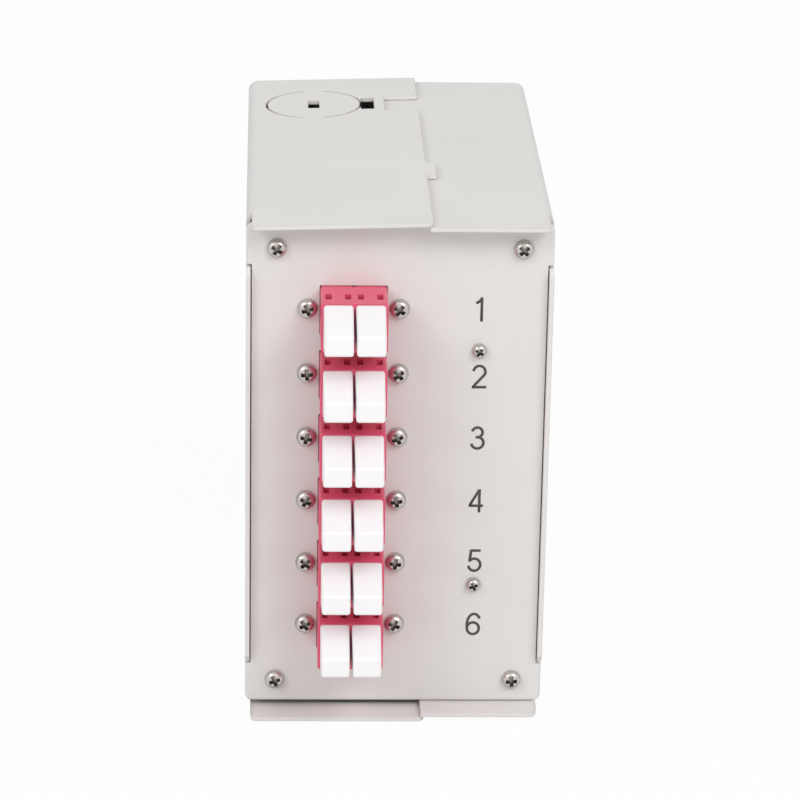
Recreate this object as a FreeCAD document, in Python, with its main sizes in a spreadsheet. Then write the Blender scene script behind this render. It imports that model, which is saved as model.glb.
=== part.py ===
import FreeCAD, Part
import os
import re
import Sketcher

# A fibre box for a 35 mm rail: two folded steel shells, a front panel with six duplex adapters,
# a splice tray inside and a sprung rail clip at the back.
# X points right as seen from the front, Y points back, Z points up, all sizes in millimetres.
# The origin is on the bottom face, in the middle of the case's width and depth.

doc = FreeCAD.newDocument("fibre_box")
dims = doc.addObject("Spreadsheet::Sheet", "dims")

SIZES = [
    # Case: powder coated steel sheet and its bends
    ("box_width", 60.0),
    ("base_height", 104.0),
    ("case_depth", 101.4),
    ("steel", 0.9),
    ("bend_inner", 1.2),
    ("shell_gap", 0.1),
    ("cut_margin", 3.0),
    ("lip", 5.4),
    ("lip_inset", 1.1),
    ("lip_lap", 0.5),
    ("lip_extra", 0.1),
    ("lip_corner", 1.4),
    ("lip_round", 1.2),
    # Seam between the two shells
    ("seam_place", 6.0),
    ("tongue", 8.0),
    ("tongue_dip", 0.22),
    ("tongue_setback", 5.0),
    ("seam_tab_start", 25.2),
    ("seam_tab_length", 8.7),
    ("seam_tab_width", 1.9),
    ("notch_start", 71.6),
    ("notch_length", 10.5),
    ("notch_depth", 7.1),
    # Knock-out for a cable gland
    ("knockout_diameter", 20.5),
    ("knockout_kerf", 0.5),
    ("knockout_bridge", 4.0),
    ("knockout_inset", 13.9),
    ("knockout_back", 19.0),
    ("centre_slot_width", 2.4),
    ("centre_slot_length", 5.6),
    ("edge_slot_width", 2.8),
    ("edge_slot_length", 8.2),
    # Wings and corner tabs at the front of the side walls
    ("wing_margin", 10.0),
    ("wing_proud", 1.5),
    ("slit", 0.6),
    ("tab_height", 6.8),
    ("tab_width", 10.0),
    ("corner_relief", 3.9),
    ("back_relief", 3.2),
    ("back_gap", 0.4),
    ("hook_height", 40.0),
    ("hook_width", 9.0),
    # Front panel
    ("panel_gap", 0.15),
    ("panel_side_gap", 0.2),
    ("corner_inset", 6.0),
    ("ear_corner", 1.5),
    ("ear_round", 0.6),
    ("hole_gap", 0.3),
    ("thread_gap", 0.1),
    # Adapters
    ("row_pitch", 13.45),
    ("adapter_offset", 9.0),
    ("adapter_drop", 0.4),
    ("adapter_width", 13.0),
    ("adapter_height", 9.9),
    ("adapter_reach", 10.6),
    ("adapter_rear", 15.0),
    ("adapter_corner", 0.5),
    ("cutout_gap", 0.1),
    ("flange_width", 22.0),
    ("flange_height", 9.3),
    ("flange_thick", 1.6),
    ("screw_spacing", 18.0),
    ("port_pitch", 6.25),
    ("port_width", 4.9),
    ("port_height", 6.9),
    ("port_depth", 11.0),
    ("web", 2.0),
    ("window_width", 1.2),
    ("window_length", 3.1),
    ("window_start", 4.7),
    ("window_pitch", 3.75),
    ("key_width", 0.8),
    ("key_length", 0.3),
    ("tube_diameter", 2.9),
    ("tube_length", 2.5),
    ("sleeve_diameter", 1.6),
    ("sleeve_bore", 1.25),
    ("sleeve_gap", 0.05),
    ("sleeve_slit", 0.3),
    # Dust caps
    ("cap_seat", 0.1),
    ("cap_width", 5.75),
    ("cap_height", 8.95),
    ("cap_drop", -0.28),
    ("cap_reach", 9.4),
    ("cap_tip_width", 5.6),
    ("cap_tip_height", 4.0),
    ("cap_tip_drop", 0.43),
    ("cap_round", 0.55),
    ("plug_gap", 0.25),
    ("plug_length", 7.0),
    ("plug_bore", 3.3),
    # Screws and nuts
    ("adapter_head", 4.0),
    ("adapter_shank", 2.0),
    ("adapter_screw_length", 5.4),
    ("corner_head", 3.9),
    ("corner_shank", 2.5),
    ("corner_screw_length", 5.0),
    ("bracket_head", 3.0),
    ("bracket_shank", 2.0),
    ("bracket_screw_length", 4.6),
    ("head_height", 1.5),
    ("nut_flats", 4.0),
    ("nut_thick", 1.6),
    ("press_nut_diameter", 5.5),
    # Splice bracket and tray
    ("bracket_offset", 15.8),
    ("bracket_pitch", 50.0),
    ("bracket_width", 9.0),
    ("bracket_height", 64.0),
    ("bracket_margin", 6.9),
    ("tray_start", 8.0),
    ("tray_back", 8.0),
    ("tray_height", 76.0),
    ("tray_depth", 7.0),
    ("tray_wall", 1.2),
    ("tray_corner", 10.0),
    ("core_diameter", 28.0),
    ("core_pitch", 40.0),
    ("core_drop", 10.0),
    ("entry_width", 8.0),
    ("lid_thick", 0.8),
    ("holder_length", 40.0),
    ("holder_height", 16.2),
    ("holder_thick", 4.4),
    ("holder_raise", 22.0),
    ("groove", 1.5),
    ("groove_pitch", 2.5),
    ("tray_head", 5.0),
    ("tray_shank", 2.5),
    ("tray_screw_length", 3.4),
    # Rail clip, for a rail of 35 mm with 1 mm edges
    ("rail_height", 35.0),
    ("rail_edge", 1.4),
    ("clip_width", 36.0),
    ("clip_over", 6.0),
    ("clip_thick", 5.0),
    ("clip_lip", 2.5),
    ("clip_hook", 2.8),
    ("clip_gap", 0.3),
    ("latch_width", 14.0),
    ("latch_thick", 2.0),
    ("latch_top", 4.0),
    ("latch_foot", 34.0),
    ("latch_bar", 2.0),
    ("latch_slot_width", 6.0),
    ("latch_slot_height", 2.5),
    ("spring_window", 8.0),
    ("spring_span", 10.0),
    ("spring_ledge", 1.5),
    ("spring_thick", 0.4),
    ("clip_pitch", 26.0),
    ("clip_head", 5.5),
    ("clip_shank", 3.0),
    ("clip_screw_length", 6.4),
    ("clip_nut_flats", 5.5),
    ("clip_nut_thick", 2.4),
]

for row, (alias, size) in enumerate(SIZES, start=1):
    dims.set(f"A{row}", alias)
    dims.set(f"B{row}", str(size))
    dims.setAlias(f"B{row}", alias)
doc.recompute()

# Places worked out from the sizes, as expressions
BEND_OUTER = "(bend_inner + steel)"
HALF_WIDTH = "(box_width / 2)"
BASE_BOTTOM = "(steel + shell_gap)"
BASE_TOP = f"({BASE_BOTTOM} + base_height)"
MIDDLE = f"({BASE_BOTTOM} + base_height / 2)"
FRONT = "(-case_depth / 2)"
BACK = "(case_depth / 2)"
PANEL = f"({FRONT} + lip)"
PANEL_BACK = f"({PANEL} + steel)"
COVER_RISE = "(steel + shell_gap)"
WING_HALF = "(base_height / 2 - wing_margin)"
TAB_INNER = f"({WING_HALF} + slit)"
TAB_OUTER = f"({TAB_INNER} + tab_height)"
CORNER_X = f"({HALF_WIDTH} - corner_inset)"
CORNER_Z = "(base_height / 2 - corner_inset)"
BACK_HALF = "(base_height / 2 - steel - back_gap)"
BEND_HALF = f"(base_height / 2 - {BEND_OUTER} - slit)"
FLANGE_BACK = "(steel + flange_thick)"
BRACKET_OUTER = "(bracket_offset + bracket_width / 2)"
BRACKET_INNER = f"({BRACKET_OUTER} - steel)"
TRAY_FRONT = f"({PANEL} + tray_start)"
TRAY_END = f"({BACK} - tray_back)"
TRAY_CENTRE = f"(({TRAY_FRONT} + {TRAY_END}) / 2)"
RAIL_FACE = f"({BACK} + clip_thick)"
RAIL_HALF = "(rail_height / 2)"
LATCH_BACK = f"({BACK} + clip_gap + latch_thick)"

# Crown of a screw head, as shares of its diameter and of its height
CROWN = [(0.5, 0.0), (0.5, 0.2), (0.44, 0.62), (0.28, 1.0)]
ROOT_THREE = 3 ** 0.5
ROWS = 6
TOLERANCE = 1e-4
SUBPARTS = []


def link(text):
    """An expression of size names, in the form that reads the sheet."""
    return re.sub(r"\b([a-z]\w*)\b", r"dims.\1", text)


def number(text):
    """The present value of an expression of size names."""
    return float(dims.evalExpression(link(text)))


def new_body(label):
    body = doc.addObject("PartDesign::Body", label)
    body.Label = label
    SUBPARTS.append(body)
    return body


def place(body, x="0", y="0", z="0"):
    """Puts a body's own origin at a place given by expressions."""
    for axis, text in (("x", x), ("y", y), ("z", z)):
        body.setExpression(f".Placement.Base.{axis}", link(text))


def sketch_on(body, name, role, offset):
    sketch = body.newObject("Sketcher::SketchObject", f"{body.Label}_{name}")
    plane = [item for item in body.Origin.OriginFeatures if item.Role == role][0]
    sketch.AttachmentSupport = [(plane, "")]
    sketch.MapMode = "FlatFace"
    sketch.setExpression(".AttachmentOffset.Base.z", link(offset))
    return sketch


def front_sketch(body, name, y):
    """A sketch seen from the front, at depth y: its normal points forward."""
    return sketch_on(body, name, "XZ_Plane", f"-({y})")


def side_sketch(body, name, x):
    """A sketch seen from the right, at x: its normal points right."""
    return sketch_on(body, name, "YZ_Plane", x)


def plan_sketch(body, name, z):
    """A sketch seen from above, at height z: its normal points up."""
    return sketch_on(body, name, "XY_Plane", z)


def fix_point(sketch, geometry, point, x, y):
    """Ties a point of the sketch to its place by two expressions."""
    for kind, text in (("DistanceX", x), ("DistanceY", y)):
        rule = Sketcher.Constraint(kind, -1, 1, geometry, point, number(text))
        sketch.setExpression(f"Constraints[{sketch.addConstraint(rule)}]", link(text))


def outline(sketch, corners):
    """A closed outline of straight lines through corners given by expressions."""
    spots = [FreeCAD.Vector(number(x), number(y), 0) for x, y in corners]
    first = sketch.GeometryCount
    count = len(spots)
    for start, end in zip(spots, spots[1:] + spots[:1]):
        sketch.addGeometry(Part.LineSegment(start, end), False)
    for index, (x, y) in enumerate(corners):
        following = first + (index + 1) % count
        sketch.addConstraint(Sketcher.Constraint("Coincident", first + index, 2, following, 1))
        fix_point(sketch, first + index, 1, x, y)


def rectangle(sketch, left, right, low, high):
    outline(sketch, [(left, low), (right, low), (right, high), (left, high)])


def circle(sketch, x, y, diameter):
    centre = FreeCAD.Vector(number(x), number(y), 0)
    ring = Part.Circle(centre, FreeCAD.Vector(0, 0, 1), number(diameter) / 2)
    geometry = sketch.addGeometry(ring, False)
    fix_point(sketch, geometry, 3, x, y)
    rule = Sketcher.Constraint("Diameter", geometry, number(diameter))
    sketch.setExpression(f"Constraints[{sketch.addConstraint(rule)}]", link(diameter))


def feature(body, kind, name):
    item = body.newObject(f"PartDesign::{kind}", name)
    body.Tip = item
    return item


def pad(body, sketch, length, backwards=False):
    item = feature(body, "Pad", f"{sketch.Name}_pad")
    item.Profile = sketch
    item.setExpression("Length", link(length))
    item.Reversed = backwards
    return item


def pocket(body, sketch, length=None, backwards=False):
    """Cuts a sketch's outline against its normal, or right through without a length."""
    item = feature(body, "Pocket", f"{sketch.Name}_pocket")
    item.Profile = sketch
    item.Reversed = backwards
    if length is None:
        item.Type = "ThroughAll"
    else:
        item.setExpression("Length", link(length))
    return item


def pattern(body, originals, axis, pitch, count):
    """Repeats features along one of the body's own axes."""
    item = feature(body, "LinearPattern", f"{originals[0].Name}_pattern")
    item.Originals = originals
    axes = {entry.Role: entry for entry in body.Origin.OriginFeatures}
    item.Direction = (axes[axis], [""])
    item.Mode = "Spacing"
    item.setExpression("Offset", link(pitch))
    item.Occurrences = count
    body.Tip = item
    return item


def straight_edges(shape, **places):
    """Names of the straight edges whose two ends share the given coordinates."""
    names = []
    wanted = {axis: [number(text) for text in texts] for axis, texts in places.items()}
    for index, edge in enumerate(shape.Edges, start=1):
        ends = [vertex.Point for vertex in edge.Vertexes]
        fits = edge.Curve.TypeId == "Part::GeomLine" and len(ends) == 2
        for axis, values in wanted.items():
            for end in ends:
                fits = fits and any(abs(getattr(end, axis) - value) < TOLERANCE for value in values)
        if fits and all(abs(getattr(ends[0], axis) - getattr(ends[1], axis)) < TOLERANCE for axis in wanted):
            names.append(f"Edge{index}")
    return names


def fillet(body, radius, **places):
    """Rounds the straight edges found at the given places."""
    doc.recompute()
    base = body.Tip
    item = feature(body, "Fillet", f"{base.Name}_round")
    item.Base = (base, straight_edges(base.Shape, **places))
    item.setExpression("Radius", link(radius))
    return item


def wall_front(body, side):
    """Cuts the front edge of a side wall and bends its two corner tabs inwards.

    The middle of the wall runs past the panel as a wing with bevelled ends.
    Above and below it a tab is folded in behind the panel, between relief slits.
    """
    wall = f"{side} * {HALF_WIDTH}"
    slit_depth = f"{PANEL_BACK} + {BEND_OUTER} + slit"
    beyond = f"{FRONT} - cut_margin"
    end = "(base_height / 2 + cut_margin)"
    lower = [
        (f"{PANEL} + corner_relief", end),
        (f"{PANEL} + corner_relief", TAB_OUTER),
        (PANEL_BACK, TAB_OUTER),
        (PANEL_BACK, TAB_INNER),
        (slit_depth, TAB_INNER),
        (slit_depth, WING_HALF),
        (PANEL, WING_HALF),
        (f"{PANEL} - wing_proud", f"{WING_HALF} - wing_proud"),
    ]
    corners = [(beyond, f"{MIDDLE} - {end}")]
    corners += [(y, f"{MIDDLE} - ({away})") for y, away in lower]
    corners += [(y, f"{MIDDLE} + ({away})") for y, away in reversed(lower)]
    corners += [(beyond, f"{MIDDLE} + {end}")]
    cut = side_sketch(body, "front_edge", wall)
    outline(cut, corners)
    pocket(body, cut, "lip_inset", backwards=side < 0)

    tabs = front_sketch(body, "corner_tabs", PANEL_BACK)
    for sign in ("-", "+"):
        rectangle(tabs, f"{side} * ({HALF_WIDTH} - tab_width)", wall,
                  f"{MIDDLE} {sign} {TAB_INNER}", f"{MIDDLE} {sign} {TAB_OUTER}")
    pad(body, tabs, "steel", backwards=True)
    fillet(body, BEND_OUTER, x=[wall], y=[PANEL_BACK])
    fillet(body, "bend_inner", x=[f"{side} * ({HALF_WIDTH} - steel)"], y=[f"{PANEL_BACK} + steel"])

    holes = front_sketch(body, "tab_holes", PANEL_BACK)
    for sign in ("-", "+"):
        circle(holes, f"{side} * {CORNER_X}", f"{MIDDLE} {sign} {CORNER_Z}", "corner_shank + hole_gap")
    pocket(body, holes, "2 * steel")


def make_base_shell():
    """Right half of the case: wall, two flanges that slip under the cover, and the back wall."""
    body = new_body("base_shell")
    tongue_end = "(seam_place - tongue)"
    inner_wall = f"({HALF_WIDTH} - steel)"
    section = front_sketch(body, "section", BACK)
    outline(section, [
        (tongue_end, f"{BASE_TOP} - tongue_dip"),
        ("seam_place", BASE_TOP),
        (HALF_WIDTH, BASE_TOP),
        (HALF_WIDTH, BASE_BOTTOM),
        (tongue_end, BASE_BOTTOM),
        (tongue_end, f"{BASE_BOTTOM} + steel"),
        (inner_wall, f"{BASE_BOTTOM} + steel"),
        (inner_wall, f"{BASE_TOP} - steel"),
        ("seam_place", f"{BASE_TOP} - steel"),
        (tongue_end, f"{BASE_TOP} - tongue_dip - steel"),
    ])
    pad(body, section, "case_depth")
    fillet(body, BEND_OUTER, x=[HALF_WIDTH], z=[BASE_TOP, BASE_BOTTOM])
    fillet(body, "bend_inner", x=[inner_wall], z=[f"{BASE_TOP} - steel", f"{BASE_BOTTOM} + steel"])

    lips = plan_sketch(body, "lip_ends", f"{BASE_TOP} + cut_margin")
    rectangle(lips, f"{tongue_end} - cut_margin", "seam_place - lip_lap",
              f"{FRONT} - cut_margin", f"{PANEL_BACK} + tongue_setback")
    pocket(body, lips)

    wall_front(body, 1)
    fillet(body, "lip_round", x=[f"{HALF_WIDTH} - lip_inset"], y=[FRONT])

    relief = side_sketch(body, "back_relief", HALF_WIDTH)
    for sign in ("-", "+"):
        rectangle(relief, f"{BACK} - back_relief", f"{BACK} + cut_margin",
                  f"{MIDDLE} {sign} {BEND_HALF}", f"{MIDDLE} {sign} ({BEND_HALF} + slit)")
    pocket(body, relief, "lip_inset")
    back_wall = front_sketch(body, "back_wall", BACK)
    wall_left = f"back_gap - {inner_wall}"
    bend_start = f"{inner_wall} - bend_inner - slit"
    outline(back_wall, [
        (wall_left, f"{MIDDLE} - {BACK_HALF}"),
        (bend_start, f"{MIDDLE} - {BACK_HALF}"),
        (bend_start, f"{MIDDLE} - {BEND_HALF}"),
        (HALF_WIDTH, f"{MIDDLE} - {BEND_HALF}"),
        (HALF_WIDTH, f"{MIDDLE} + {BEND_HALF}"),
        (bend_start, f"{MIDDLE} + {BEND_HALF}"),
        (bend_start, f"{MIDDLE} + {BACK_HALF}"),
        (wall_left, f"{MIDDLE} + {BACK_HALF}"),
    ])
    pad(body, back_wall, "steel")
    fillet(body, BEND_OUTER, x=[HALF_WIDTH], y=[BACK])
    fillet(body, "bend_inner", x=[inner_wall], y=[f"{BACK} - steel"])
    holes = front_sketch(body, "clip_holes", f"{BACK} - steel")
    for sign in ("-", ""):
        circle(holes, f"{sign}clip_pitch / 2", MIDDLE, "clip_shank + hole_gap")
    pocket(body, holes, "2 * steel")


def make_cover_shell():
    """Left half of the case: wall and two flanges that lap over the base, with a knock-out."""
    body = new_body("cover_shell")
    wall = f"-{HALF_WIDTH}"
    inner_wall = f"(steel - {HALF_WIDTH})"
    tab_end = "(seam_place + seam_tab_width)"
    slope = f"({COVER_RISE} / (seam_place + {HALF_WIDTH}))"
    rise = f"({slope} * ({tab_end} + {HALF_WIDTH}))"
    section = front_sketch(body, "section", BACK)
    outline(section, [
        (wall, "0"),
        (tab_end, "0"),
        (tab_end, "steel"),
        (inner_wall, "steel"),
        (inner_wall, f"{BASE_TOP} - steel + {slope} * steel"),
        (tab_end, f"{BASE_TOP} - steel + {rise}"),
        (tab_end, f"{BASE_TOP} + {rise}"),
        (wall, BASE_TOP),
    ])
    pad(body, section, "case_depth")
    fillet(body, BEND_OUTER, x=[wall], z=[BASE_TOP, "0"])
    fillet(body, "bend_inner", x=[inner_wall], z=[f"{BASE_TOP} - steel + {slope} * steel", "steel"])

    # Edge along the seam: a wider lip, a small tab and a notch near the back
    above = f"{BASE_TOP} + 2 * cut_margin"
    right = f"{tab_end} + cut_margin"
    tab_start = f"{PANEL} + seam_tab_start"
    notch_start = f"{PANEL} + notch_start"
    seam = plan_sketch(body, "seam", above)
    outline(seam, [
        (right, f"{FRONT} - cut_margin"),
        ("seam_place + lip_extra", f"{FRONT} - cut_margin"),
        ("seam_place + lip_extra", PANEL),
        ("seam_place", PANEL),
        ("seam_place", tab_start),
        (tab_end, tab_start),
        (tab_end, f"{tab_start} + seam_tab_length"),
        ("seam_place", f"{tab_start} + seam_tab_length"),
        ("seam_place", notch_start),
        ("seam_place - notch_depth", notch_start),
        ("seam_place - notch_depth", f"{notch_start} + notch_length"),
        ("seam_place", f"{notch_start} + notch_length"),
        ("seam_place", f"{BACK} + cut_margin"),
        (right, f"{BACK} + cut_margin"),
    ])
    pocket(body, seam)
    fillet(body, "lip_corner", x=["seam_place + lip_extra"], y=[FRONT])

    # Knock-out: two arcs of kerf with a bridge in front and behind, and two pry slots
    centre_x = f"(knockout_inset - {HALF_WIDTH})"
    centre_y = f"({BACK} - knockout_back)"
    kerfs = plan_sketch(body, "knockout", above)
    for sign in ("-", "+"):
        kerf_arc(kerfs, centre_x, centre_y, sign)
    pocket(body, kerfs)
    slots = plan_sketch(body, "pry_slots", above)
    rectangle(slots, f"{centre_x} - centre_slot_width / 2", f"{centre_x} + centre_slot_width / 2",
              f"{centre_y} - centre_slot_length / 2", f"{centre_y} + centre_slot_length / 2")
    edge_start = f"{centre_x} + knockout_diameter / 2 - knockout_kerf / 2"
    rectangle(slots, edge_start, f"{edge_start} + edge_slot_width",
              f"{centre_y} - edge_slot_length / 2", f"{centre_y} + edge_slot_length / 2")
    pocket(body, slots)

    wall_front(body, -1)
    fillet(body, "lip_round", x=[f"lip_inset - {HALF_WIDTH}"], y=[FRONT])

    # Rear hook, folded in ahead of the base's back wall
    hook_back = f"({BACK} - steel - back_gap)"
    relief = side_sketch(body, "rear_edge", wall)
    for sign in ("-", "+"):
        rectangle(relief, hook_back, f"{BACK} + cut_margin",
                  f"{MIDDLE} {sign} hook_height / 2", f"{MIDDLE} {sign} (hook_height / 2 + slit)")
    rectangle(relief, hook_back, f"{BACK} + cut_margin",
              f"{MIDDLE} - hook_height / 2", f"{MIDDLE} + hook_height / 2")
    for sign in ("-", "+"):
        rectangle(relief, f"{hook_back} - back_relief", hook_back,
                  f"{MIDDLE} {sign} hook_height / 2", f"{MIDDLE} {sign} (hook_height / 2 + slit)")
    pocket(body, relief, "lip_inset", backwards=True)
    hook = front_sketch(body, "rear_hook", hook_back)
    rectangle(hook, wall, f"{wall} + hook_width",
              f"{MIDDLE} - hook_height / 2", f"{MIDDLE} + hook_height / 2")
    pad(body, hook, "steel")
    fillet(body, BEND_OUTER, x=[wall], y=[hook_back])
    fillet(body, "bend_inner", x=[inner_wall], y=[f"{hook_back} - steel"])


def kerf_arc(sketch, centre_x, centre_y, sign):
    """One half of the knock-out's kerf, as a ring cut off beside the two bridges."""
    middle = FreeCAD.Vector(number(centre_x), number(centre_y), 0)
    up = FreeCAD.Vector(0, 0, 1)
    end_x = f"{centre_x} {sign} knockout_bridge / 2"
    arcs = []
    for diameter in ("knockout_diameter", "(knockout_diameter - 2 * knockout_kerf)"):
        radius = number(diameter) / 2
        ring = Part.Circle(middle, up, radius)
        reach = (radius ** 2 - (number("knockout_bridge") / 2) ** 2) ** 0.5
        low = FreeCAD.Vector(number(end_x), middle.y - reach, 0)
        high = FreeCAD.Vector(number(end_x), middle.y + reach, 0)
        start, end = (low, high) if sign == "+" else (high, low)
        arc = sketch.addGeometry(Part.ArcOfCircle(ring, ring.parameter(start), ring.parameter(end)), False)
        fix_point(sketch, arc, 3, centre_x, centre_y)
        rule = Sketcher.Constraint("Diameter", arc, 2 * radius)
        sketch.setExpression(f"Constraints[{sketch.addConstraint(rule)}]", link(diameter))
        for point in (1, 2):
            rule = Sketcher.Constraint("DistanceX", -1, 1, arc, point, number(end_x))
            sketch.setExpression(f"Constraints[{sketch.addConstraint(rule)}]", link(end_x))
        arcs.append((arc, start, end))
    for point, spot in ((1, 1), (2, 2)):
        line = sketch.addGeometry(Part.LineSegment(arcs[0][spot], arcs[1][spot]), False)
        sketch.addConstraint(Sketcher.Constraint("Coincident", line, 1, arcs[0][0], point))
        sketch.addConstraint(Sketcher.Constraint("Coincident", line, 2, arcs[1][0], point))


def row_height(row):
    """Height of an adapter row's screws, counted from the top."""
    return f"{MIDDLE} + ({(ROWS - 1) / 2 - row}) * row_pitch"


def make_front_panel():
    """Flat plate between the wings, with an ear over each corner tab and cut-outs for the adapters."""
    body = new_body("front_panel")
    plate = front_sketch(body, "plate", PANEL_BACK)
    half_height = "(base_height / 2 - steel - panel_gap)"
    half_width = f"({HALF_WIDTH} - steel - panel_side_gap)"
    steps = [(HALF_WIDTH, f"-{half_height}"), (HALF_WIDTH, f"-{TAB_INNER}"), (half_width, f"-{TAB_INNER}"),
             (half_width, TAB_INNER), (HALF_WIDTH, TAB_INNER), (HALF_WIDTH, half_height)]
    corners = [(x, f"{MIDDLE} + {z}") for x, z in steps]
    corners += [(f"-{x}", f"{MIDDLE} + {z}") for x, z in reversed(steps)]
    outline(plate, corners)
    pad(body, plate, "steel")
    sides = [f"-{HALF_WIDTH}", HALF_WIDTH]
    fillet(body, "ear_corner", x=sides, z=[f"{MIDDLE} - {half_height}", f"{MIDDLE} + {half_height}"])
    fillet(body, "ear_round", x=sides, y=[PANEL])

    cut = front_sketch(body, "cutout", PANEL)
    low = row_height(ROWS - 1)
    centre_z = f"({low} - adapter_drop)"
    rectangle(cut, "-adapter_offset - adapter_width / 2 - cutout_gap",
              "-adapter_offset + adapter_width / 2 + cutout_gap",
              f"{centre_z} - adapter_height / 2 - cutout_gap",
              f"{centre_z} + adapter_height / 2 + cutout_gap")
    for sign in ("-", "+"):
        circle(cut, f"-adapter_offset {sign} screw_spacing / 2", low, "adapter_shank + hole_gap")
    pattern(body, [pocket(body, cut, "2 * steel")], "Z_Axis", "row_pitch", ROWS)

    holes = front_sketch(body, "holes", PANEL)
    for z_sign in ("-", "+"):
        for x_sign in ("-", ""):
            circle(holes, f"{x_sign}{CORNER_X}", f"{MIDDLE} {z_sign} {CORNER_Z}", "corner_shank + hole_gap")
        circle(holes, "bracket_offset", f"{MIDDLE} {z_sign} bracket_pitch / 2", "bracket_shank + hole_gap")
    pocket(body, holes, "2 * steel")


def make_adapter(row):
    """Duplex adapter put in from behind: housing, screw flange, two through ports and sleeve tubes."""
    body = new_body(f"adapter_{row + 1}")
    place(body, "-adapter_offset", PANEL, f"{row_height(row)} - adapter_drop")
    half_width = "(adapter_width / 2)"
    half_height = "(adapter_height / 2)"
    housing = front_sketch(body, "housing", "adapter_rear")
    rectangle(housing, f"-{half_width}", half_width, f"-{half_height}", half_height)
    pad(body, housing, "adapter_rear + adapter_reach")
    fillet(body, "adapter_corner", x=[half_width, f"-{half_width}"], z=[half_height, f"-{half_height}"])

    flange = front_sketch(body, "flange", FLANGE_BACK)
    rectangle(flange, "-flange_width / 2", "flange_width / 2", "-flange_height / 2", "flange_height / 2")
    pad(body, flange, "flange_thick")
    holes = front_sketch(body, "flange_holes", "steel")
    for sign in ("-", ""):
        circle(holes, f"{sign}screw_spacing / 2", "adapter_drop", "adapter_shank + hole_gap")
    pocket(body, holes, "flange_thick")

    web_front = "(port_depth - adapter_reach)"
    web_back = f"({web_front} + web)"
    front_ports = front_sketch(body, "front_ports", "-adapter_reach")
    rear_ports = front_sketch(body, "rear_ports", "adapter_rear")
    for ports in (front_ports, rear_ports):
        for sign in ("-", "+"):
            middle = f"(0 {sign} port_pitch / 2)"
            rectangle(ports, f"{middle} - port_width / 2", f"{middle} + port_width / 2",
                      "-port_height / 2", "port_height / 2")
    pocket(body, front_ports, "port_depth")
    pocket(body, rear_ports, f"adapter_rear - {web_back}", backwards=True)

    tubes = front_sketch(body, "sleeve_tubes", f"{web_back} + tube_length")
    bores = front_sketch(body, "sleeve_bores", f"{web_front} - tube_length")
    for sign in ("-", ""):
        circle(tubes, f"{sign}port_pitch / 2", "0", "tube_diameter")
        circle(bores, f"{sign}port_pitch / 2", "0", "sleeve_diameter + 2 * sleeve_gap")
    pad(body, tubes, "web + 2 * tube_length")
    pocket(body, bores, "web + 2 * tube_length")

    windows = plan_sketch(body, "windows", half_height)
    for port in ("-", "+"):
        for side in ("-", "+"):
            middle = f"(0 {port} port_pitch / 2 {side} window_pitch / 2)"
            rectangle(windows, f"{middle} - window_width / 2", f"{middle} + window_width / 2",
                      "-window_start - window_length", "-window_start")
    pocket(body, windows, f"{half_height} - port_height / 2 + sleeve_gap")
    key = plan_sketch(body, "key", half_height)
    rectangle(key, "-key_width / 2", "key_width / 2", "-key_length", FLANGE_BACK)
    pocket(body, key, "key_width")


def make_sleeve(row, letter, sign):
    """Split ceramic sleeve that lines up two ferrules inside an adapter."""
    body = new_body(f"sleeve_{row + 1}{letter}")
    middle = "(port_depth - adapter_reach + web / 2)"
    length = "(web + 2 * tube_length)"
    place(body, f"-adapter_offset {sign} port_pitch / 2", f"{PANEL} + {middle} + {length} / 2",
          f"{row_height(row)} - adapter_drop")
    ring = front_sketch(body, "ring", "0")
    circle(ring, "0", "0", "sleeve_diameter")
    circle(ring, "0", "0", "sleeve_bore")
    pad(body, ring, length)
    slit = front_sketch(body, "slit", "0")
    rectangle(slit, "-sleeve_slit / 2", "sleeve_slit / 2", "0", "sleeve_diameter")
    pocket(body, slit, length, backwards=True)


def make_dust_cap(row, letter, sign):
    """Dust cap: a wedge shaped grip in front of the port and a hollow plug inside it."""
    body = new_body(f"dust_cap_{row + 1}{letter}")
    place(body, f"-adapter_offset {sign} port_pitch / 2", f"{PANEL} - adapter_reach - cap_seat",
          f"{row_height(row)} - adapter_drop")
    root = front_sketch(body, "root", "0")
    rectangle(root, "-cap_width / 2", "cap_width / 2", "-cap_drop - cap_height / 2", "cap_height / 2 - cap_drop")
    tip = front_sketch(body, "tip", "-cap_reach")
    rectangle(tip, "-cap_tip_width / 2", "cap_tip_width / 2",
              "-cap_tip_drop - cap_tip_height / 2", "cap_tip_height / 2 - cap_tip_drop")
    grip = feature(body, "AdditiveLoft", f"{body.Label}_grip")
    grip.Profile = root
    grip.Sections = [tip]
    grip.Ruled = True
    round_grip(body)

    plug = front_sketch(body, "plug", "plug_length")
    rectangle(plug, "plug_gap - port_width / 2", "port_width / 2 - plug_gap",
              "plug_gap - port_height / 2", "port_height / 2 - plug_gap")
    pad(body, plug, "plug_length")
    bore = front_sketch(body, "bore", "plug_length")
    circle(bore, "0", "0", "plug_bore")
    pocket(body, bore, "plug_length", backwards=True)


def round_grip(body):
    """Rounds the grip's four long edges and the edges of its tip."""
    doc.recompute()
    base = body.Tip
    names = []
    for index, edge in enumerate(base.Shape.Edges, start=1):
        depths = [vertex.Point.y for vertex in edge.Vertexes]
        if min(depths) < -TOLERANCE - number("cap_reach") / 2:
            names.append(f"Edge{index}")
    item = feature(body, "Fillet", f"{body.Label}_round")
    item.Base = (base, names)
    item.setExpression("Radius", link("cap_round"))


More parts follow.
